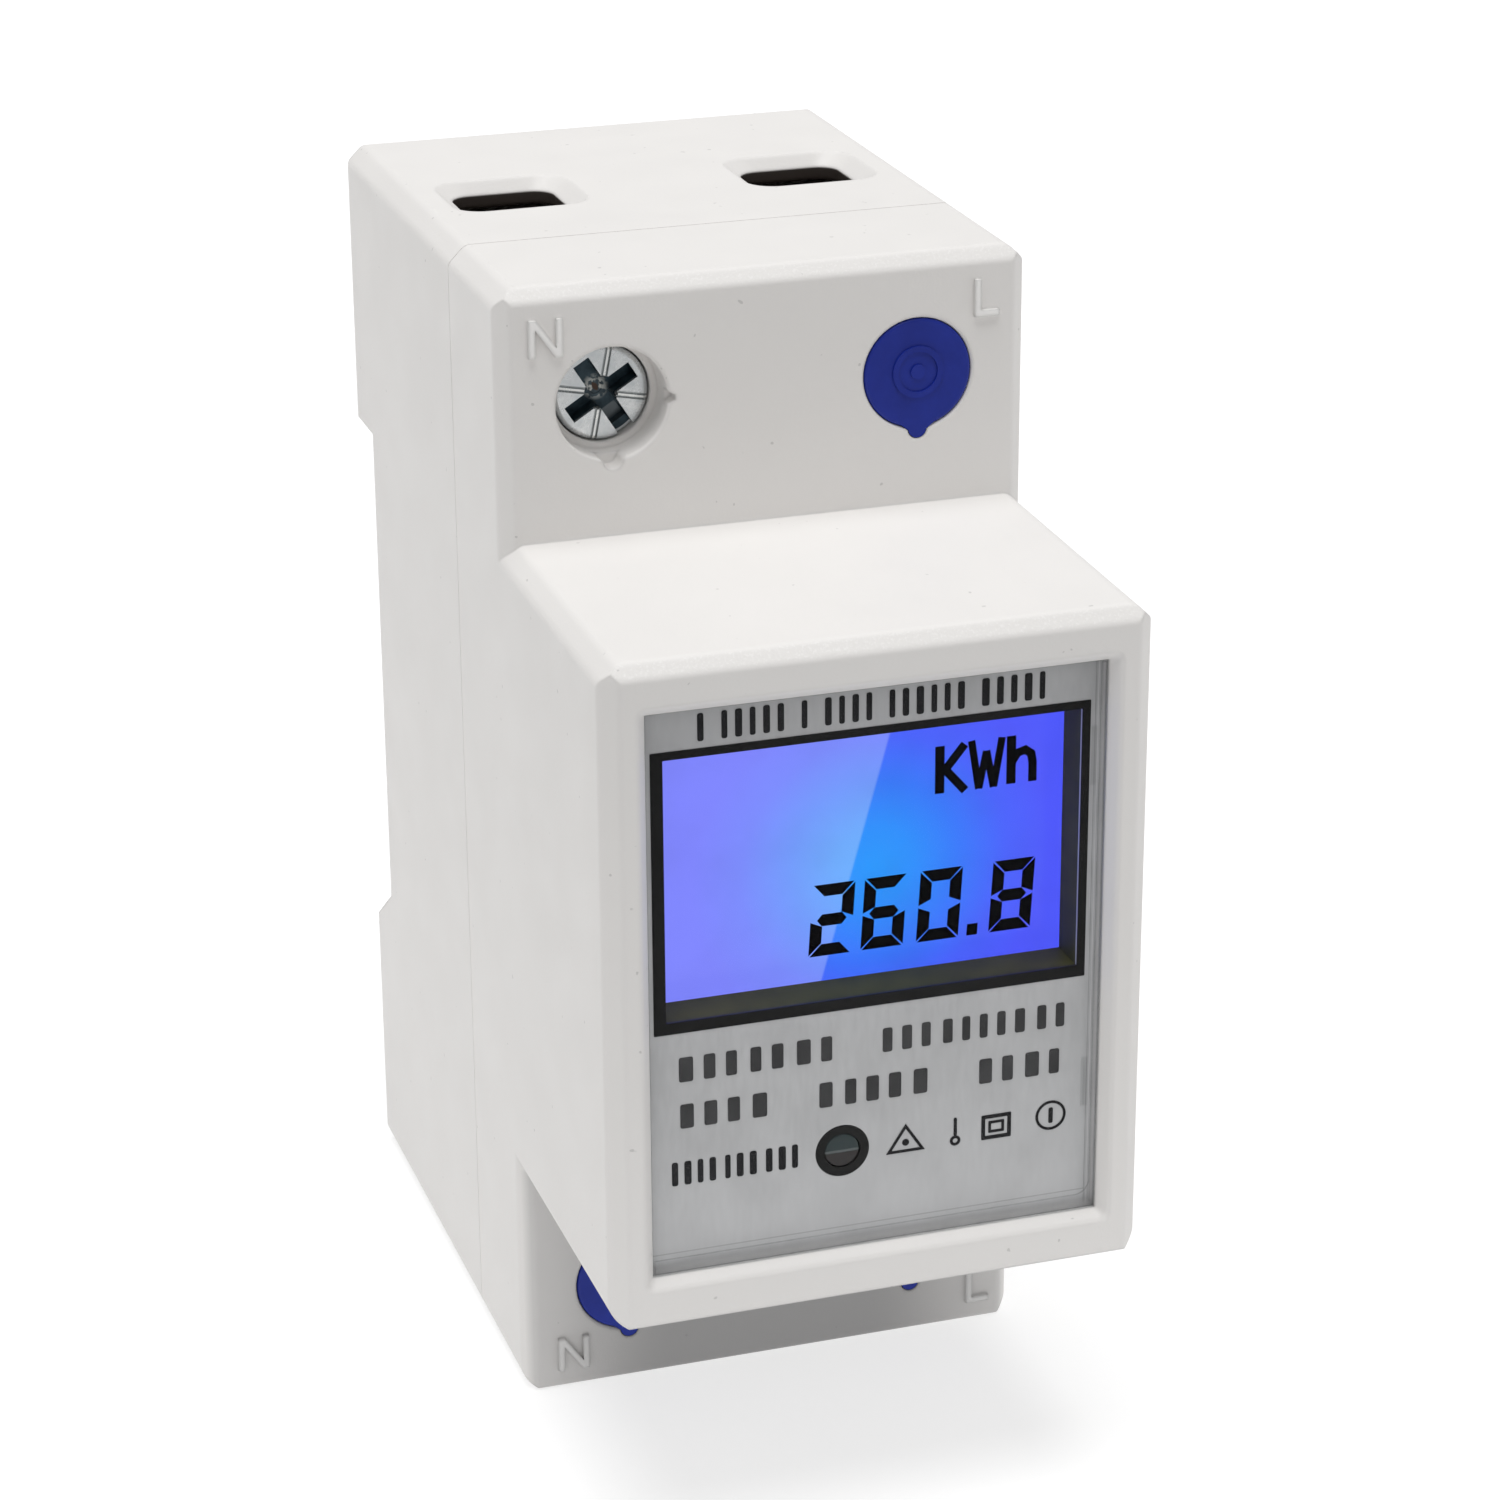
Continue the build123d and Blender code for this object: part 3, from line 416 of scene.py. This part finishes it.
# bright patch round the centre: partly wear, partly painted highlight
centre_wear_and_highlight = mathn(nt, "MULTIPLY", maprange(nt, rad, 0.00045, 0.00095, 1, 0), maprange(nt, noise(nt, co, 2300.0, 2), 0.44, 0.54, 0.05, 1))
recess_shade_and_wear = mixc(nt, mathn(nt, "MULTIPLY", centre_wear_and_highlight, 0.9), recess_shade_and_wear, (0.58, 0.59, 0.56))
recess_shade_and_wear = mixc(nt, maprange(nt, mathn(nt, "ADD", rad, mathn(nt, "MULTIPLY", across, 0.9)), 0.00030, 0.00040, 1, 0), recess_shade_and_wear, (0.07, 0.04, 0.028))
nt.links.new(mixc(nt, k, zc, recess_shade_and_wear), b.inputs["Base Color"])
nt.links.new(maprange(nt, k, 0, 1, 0.95, 0.55), b.inputs["Metallic"])
nt.links.new(mathn(nt, "ADD", maprange(nt, stain, 0, 1, 0.22, 0.38), mathn(nt, "MULTIPLY", k, 0.06)), b.inputs["Roughness"])
n1 = bump(nt, b, noise(nt, co, 2600.0, 3), 0.25, 0.00004)
M["screw"] = m

M["cage"] = simple("cage_steel_m", (0.11, 0.105, 0.10), 0.45, metal=0.9, var=0.2, grain=2500.0)
M["bar"] = simple("bar_metal_m", (0.42, 0.27, 0.13), 0.35, metal=0.95, var=0.15)
M["shunt"] = simple("shunt_metal_m", (0.42, 0.30, 0.24), 0.4, metal=0.95, var=0.12)
M["steel"] = simple("plated_steel_m", (0.62, 0.63, 0.64), 0.3, metal=0.95, var=0.08)
M["spring"] = simple("spring_steel_m", (0.55, 0.55, 0.56), 0.28, metal=1.0, var=0.08)
M["board"] = simple("circuit_board_m", (0.02, 0.16, 0.05), 0.35, var=0.15, coat=0.4)
M["chip"] = simple("chip_black_m", (0.012, 0.012, 0.013), 0.5, var=0.2)
M["capsleeve"] = simple("capacitor_sleeve_m", (0.012, 0.016, 0.05), 0.3, var=0.15)
M["film"] = simple("film_yellow_m", (0.72, 0.50, 0.03), 0.3, var=0.08)
M["varistor"] = simple("varistor_blue_m", (0.02, 0.06, 0.35), 0.3, var=0.1)
M["lead"] = simple("lead_insulation_m", (0.45, 0.03, 0.02), 0.45, var=0.1)
M["pins"] = simple("pin_metal_m", (0.65, 0.62, 0.52), 0.3, metal=0.9)
M["sleeve"] = simple("sleeve_black_m", (0.010, 0.010, 0.010), 0.5, spec=0.15, var=0.2)
M["backlight"] = simple("backlight_m", (0.70, 0.80, 0.95), 0.4, var=0.03)

# smoked indicator lens
m, nt, b, out = new_mat("indicator_m")
co = coords(nt)
sep = nt.nodes.new("ShaderNodeSeparateXYZ")
nt.links.new(co, sep.inputs[0])
g = maprange(nt, sep.outputs[2], 0.02630, 0.02642, 0, 1)
lc = mixc(nt, g, (0.034, 0.030, 0.030), (0.030, 0.046, 0.048))
# painted highlight: a light band across the middle of the lens
led_painted_highlight = mathn(nt, "MULTIPLY", maprange(nt, sep.outputs[2], 0.02632, 0.02640, 0, 1), maprange(nt, sep.outputs[2], 0.02648, 0.02656, 1, 0))
lc = mixc(nt, mathn(nt, "MULTIPLY", led_painted_highlight, 0.8), lc, (0.13, 0.15, 0.15))
nt.links.new(lc, b.inputs["Base Color"])
setin(b, "Roughness", 0.25)
setin(b, "Specular IOR Level", 0.25)
bump(nt, b, noise(nt, co, 600.0, 2), 0.1, 0.00003)
M["led"] = m

assign = {
    "base_case": "case", "front_cover": "cover", "window_lens": "window", "nameplate": "label", "display_holder": "holder",
    "lcd_glass": "lcd", "backlight_plate": "backlight", "lcd_pins": "pins", "board_header": "pins", "display_board": "board",
    "main_board": "board", "indicator_sleeve": "sleeve", "indicator_led": "led", "board_screws": "steel",
    "metering_chip": "chip", "controller_chip": "chip", "chip_resistors": "chip", "bulk_capacitor": "capsleeve",
    "dropper_capacitor": "film", "varistor": "varistor", "line_bar_in": "bar", "line_bar_out": "bar", "neutral_bar": "bar",
    "current_shunt": "shunt", "sense_leads": "lead", "rail_clip": "clip", "clip_spring": "spring",
}
for n, o in NODES.items():
    key = assign.get(n)
    if n.startswith("terminal_screw"):
        key = "screw"
    elif n.startswith("clamp_cage"):
        key = "cage"
    elif n.startswith("seal_cap"):
        key = "cap"
    if key is None:
        raise RuntimeError("no material for " + n)
    if not o.material_slots:
        o.data.materials.append(M[key])
    for s in o.material_slots:
        s.material = M[key]


# ---------------------------------------------------------------- mesh helpers
def finish_piece(bm, name, mat, body="case"):
    bmesh.ops.recalc_face_normals(bm, faces=bm.faces)
    me = bpy.data.meshes.new(name)
    bm.to_mesh(me)
    bm.free()
    o = bpy.data.objects.new(name, me)
    scene.collection.objects.link(o)
    me.materials.append(M[mat])
    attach(o, body)
    return o


def prism(bm, pts, y0, y1):
    """closed outline in (x, z) millimetres, between two depths"""
    a = [bm.verts.new((p[0] * MM, y0 * MM, p[1] * MM)) for p in pts]
    c = [bm.verts.new((p[0] * MM, y1 * MM, p[1] * MM)) for p in pts]
    bm.faces.new(a)
    bm.faces.new(list(reversed(c)))
    n = len(pts)
    for i in range(n):
        j = (i + 1) % n
        bm.faces.new((a[i], c[i], c[j], a[j]))


def ring(bm, outer, inner, y0, y1):
    n = len(outer)
    v = [[bm.verts.new((p[0] * MM, y * MM, p[1] * MM)) for p in L] for y in (y0, y1) for L in (outer, inner)]
    oa, ia, ob, ib = v
    for i in range(n):
        j = (i + 1) % n
        bm.faces.new((oa[i], oa[j], ia[j], ia[i]))
        bm.faces.new((ob[i], ib[i], ib[j], ob[j]))
        bm.faces.new((oa[i], ob[i], ob[j], oa[j]))
        bm.faces.new((ia[i], ia[j], ib[j], ib[i]))


def rrect(x0, x1, z0, z1, r, n=5):
    pts = []
    for cx, cz, a0 in ((x1 - r, z1 - r, 0), (x0 + r, z1 - r, 90), (x0 + r, z0 + r, 180), (x1 - r, z0 + r, 270)):
        for i in range(n + 1):
            a = math.radians(a0 + 90 * i / n)
            pts.append((cx + r * math.cos(a), cz + r * math.sin(a)))
    return pts


def circle(cx, cz, r, n=48):
    return [(cx + r * math.cos(2 * math.pi * i / n), cz + r * math.sin(2 * math.pi * i / n)) for i in range(n)]


def stroke(bm, pts, w, y0, y1, closed=False):
    """a bent stroke of width w along a polyline"""
    n = len(pts)
    L, R = [], []
    for i in range(n):
        p = Vector(pts[i])
        if closed:
            a, c = Vector(pts[i - 1]), Vector(pts[(i + 1) % n])
        else:
            a, c = Vector(pts[max(0, i - 1)]), Vector(pts[min(n - 1, i + 1)])
        d1 = (p - a).normalized() if (p - a).length > 1e-9 else (c - p).normalized()
        d2 = (c - p).normalized() if (c - p).length > 1e-9 else d1
        t = (d1 + d2).normalized()
        k = 1.0 / max(0.5, t.dot(d1))
        nrm = Vector((-t.y, t.x)) * (w / 2 * k)
        L.append(tuple(p + nrm))
        R.append(tuple(p - nrm))
    if closed:
        ring(bm, L, R, y0, y1)
    else:
        prism(bm, L + R[::-1], y0, y1)


# ---------------------------------------------------------------- nameplate print
Y_LABEL = -30.5
P0, P1 = Y_LABEL - 0.03, Y_LABEL
bm = bmesh.new()
ring(bm, rrect(-14.55, 14.32, 36.42, 55.40, 0.06, 2), rrect(-13.75, 13.75, 37.2, 54.85, 0.05, 2), P0, P1)
finish_piece(bm, "display_border_print", "border")

rnd = random.Random(7)


def words(name, x0, x1, z0, z1, groups, mat, gap=0.28, word_gap=0.9):
    """rows of plain rounded blocks that stand for a line of print"""
    bm = bmesh.new()
    n = sum(groups)
    total = x1 - x0 - word_gap * (len(groups) - 1) - gap * (n - len(groups))
    ws = [rnd.uniform(0.8, 1.15) for _ in range(n)]
    k = total / sum(ws)
    x = x0
    i = 0
    for g in groups:
        for _ in range(g):
            w = ws[i] * k
            prism(bm, rrect(x, x + w, z0, z1, min(0.14, w * 0.35), 3), P0, P1)
            x += w + gap
            i += 1
        x += word_gap - gap
    return finish_piece(bm, name, mat)


words("print_title", -11.5, 11.2, 55.85, 57.68, [1, 5, 1, 4, 6, 5], "ink_title", 0.50, 1.15)
words("print_row_a", -12.95, -2.8, 33.02, 34.72, [3, 2, 2], "ink", 0.70, 0.9)
words("print_row_b", 0.6, 13.0, 33.05, 34.72, [3, 5, 2], "ink", 0.66, 0.85)
words("print_row_c", -12.9, -7.15, 29.78, 31.45, [3, 1], "ink", 0.70, 0.85)
words("print_row_d", -3.65, 3.65, 29.76, 31.5, [1, 3, 1], "ink", 0.68, 0.85)
words("print_row_e", 7.2, 12.7, 29.76, 31.5, [2, 2], "ink", 0.70, 0.85)
words("print_row_f", -13.5, -5.1, 25.80, 27.45, [4, 3, 3], "ink_title", 0.42, 0.62)

# plain generic symbols
bm = bmesh.new()
ring(bm, rrect(7.4, 9.45, 25.7, 27.45, 0.05, 1), rrect(7.66, 9.19, 25.96, 27.19, 0.03, 1), P0, P1)
ring(bm, rrect(7.88, 8.97, 26.15, 27.0, 0.04, 1), rrect(8.07, 8.78, 26.34, 26.81, 0.03, 1), P0, P1)
finish_piece(bm, "print_double_square", "ink_title")
bm = bmesh.new()
ring(bm, circle(12.2, 26.75, 1.05), circle(12.2, 26.75, 0.87), P0, P1)
prism(bm, rrect(12.05, 12.35, 26.2, 27.3, 0.1, 3), P0, P1)
finish_piece(bm, "print_ring_bar", "ink_title")
bm = bmesh.new()
ring(bm, circle(5.6, 25.98, 0.36, 28), circle(5.6, 25.98, 0.17, 28), P0, P1)
prism(bm, rrect(5.49, 5.71, 26.34, 27.62, 0.1, 3), P0, P1)
finish_piece(bm, "print_stem_ring", "ink_title")
bm = bmesh.new()
stroke(bm, [(1.05, 25.8), (3.35, 25.8), (2.2, 27.55)], 0.2, P0, P1, closed=True)
prism(bm, circle(2.2, 26.4, 0.24, 20), P0, P1)
finish_piece(bm, "print_triangle", "ink_title")

# ---------------------------------------------------------------- display segments
S0, S1 = -27.5 - 0.03, -27.5
SHEAR = 0.062


def sh(x, z, zb):
    return (x + SHEAR * (z - zb), z)


def digit(bm, ch, x0, zb, w=2.85, h=4.9, t=0.80, g=0.085):
    on = {"0": "abcdef", "1": "bc", "2": "abged", "3": "abgcd", "4": "fgbc", "5": "afgcd", "6": "afgedc", "7": "abc",
          "8": "abcdefg", "9": "abcdfg"}[ch]
    m = h / 2
    segs = {
        "a": [(g, h), (w - g, h), (w - t - g * 0.2, h - t), (t + g * 0.2, h - t)],
        "d": [(g, 0), (t + g * 0.2, t), (w - t - g * 0.2, t), (w - g, 0)],
        "f": [(0, h - g), (t, h - t - g), (t, m + t * 0.45 + g), (0, m + g)],
        "b": [(w, h - g), (w, m + g), (w - t, m + t * 0.45 + g), (w - t, h - t - g)],
        "e": [(0, g), (0, m - g), (t, m - t * 0.45 - g), (t, t + g)],
        "c": [(w, g), (w - t, t + g), (w - t, m - t * 0.45 - g), (w, m - g)],
        "g": [(t * 0.55, m), (t * 0.95, m + t / 2), (w - t * 0.95, m + t / 2), (w - t * 0.55, m), (w - t * 0.95, m - t / 2), (t * 0.95, m - t / 2)],
    }
    for s in on:
        prism(bm, [sh(x0 + p[0], zb + p[1], zb) for p in segs[s]], S0, S1)


bm = bmesh.new()
ZB = 38.95
for ch, x in (("2", -3.38), ("6", 0.12), ("0", 3.88), ("8", 8.82)):
    digit(bm, ch, x, ZB)
prism(bm, [sh(7.32, ZB, ZB), sh(8.04, ZB, ZB), sh(8.04, ZB + 0.78, ZB), sh(7.32, ZB + 0.78, ZB)], S0, S1)
finish_piece(bm, "display_digits", "segment")
bm = bmesh.new()
SW = 0.62
stroke(bm, [(5.38, 49.05), (5.38, 52.25)], SW, S0, S1)
stroke(bm, [(7.05, 52.2), (5.75, 50.62), (7.10, 49.05)], SW * 0.92, S0, S1)
for i, (pa, pb) in enumerate((((7.50, 52.35), (8.02, 49.05)), ((8.02, 49.05), (8.52, 51.55)), ((8.52, 51.55), (9.02, 49.05)), ((9.02, 49.05), (9.56, 52.35)))):
    stroke(bm, [pa, pb], SW * 0.78, S0 - 0.002 * i, S1)
stroke(bm, [(10.2, 52.35), (10.2, 49.1)], SW, S0, S1)
stroke(bm, [(10.25, 50.55), (10.62, 51.15), (11.15, 51.3), (11.55, 51.0), (11.66, 50.4), (11.66, 49.1)], SW * 0.9, S0, S1)
finish_piece(bm, "display_unit", "segment")

# ---------------------------------------------------------------- stage and light
bm = bmesh.new()
R = 8.0
vs = [bm.verts.new(p) for p in ((-R, -R, 0), (R, -R, 0), (R, R, 0), (-R, R, 0))]
bm.faces.new(vs)
me = bpy.data.meshes.new("floor")
bm.to_mesh(me)
bm.free()
floor = bpy.data.objects.new("floor", me)
scene.collection.objects.link(floor)
m, nt, b, out = new_mat("floor_m")
co = coords(nt)
sep = nt.nodes.new("ShaderNodeSeparateXYZ")
nt.links.new(co, sep.inputs[0])
along_view = mathn(nt, "ADD", mathn(nt, "MULTIPLY", sep.outputs[0], 0.30557), mathn(nt, "MULTIPLY", sep.outputs[1], 0.95217))
# painted light: the floor glows, most near and behind the object and not at all towards the camera, so its cast shadow
# is lightened and the floor in front stays darker
floor_glow_weight = maprange(nt, along_view, -0.22, -0.0315, 0, 1, True)
white = mixc(nt, maprange(nt, noise(nt, co, 3.0, 2), 0.3, 0.7, 0, 1), (0.395, 0.395, 0.395), (0.405, 0.405, 0.405))
nt.links.new(white, b.inputs["Base Color"])
b.inputs["Emission Color"].default_value = (1, 1, 1, 1)
nt.links.new(maprange(nt, floor_glow_weight, 0, 1, 0.0, 0.65), b.inputs["Emission Strength"])
setin(b, "Roughness", 0.8)
setin(b, "Specular IOR Level", 0.2)
me.materials.append(m)
floor.location.z = -0.0001

world = bpy.data.worlds.new("world")
scene.world = world
world.use_nodes = True
world.node_tree.nodes["Background"].inputs[0].default_value = (1.0, 1.0, 1.0, 1)
world.node_tree.nodes["Background"].inputs[1].default_value = 0.45


sun_data = bpy.data.lights.new("key_sun", "SUN")
sun_data.energy = 0.73 * math.pi
sun_data.angle = math.radians(38)
sun = bpy.data.objects.new("key_sun", sun_data)
scene.collection.objects.link(sun)
sun.location = (-0.2, 0.0, 1.0)
sun.rotation_euler = (Vector((0, 0, 0)) - Vector((-0.06, -0.12, 1.0))).to_track_quat("-Z", "Y").to_euler()
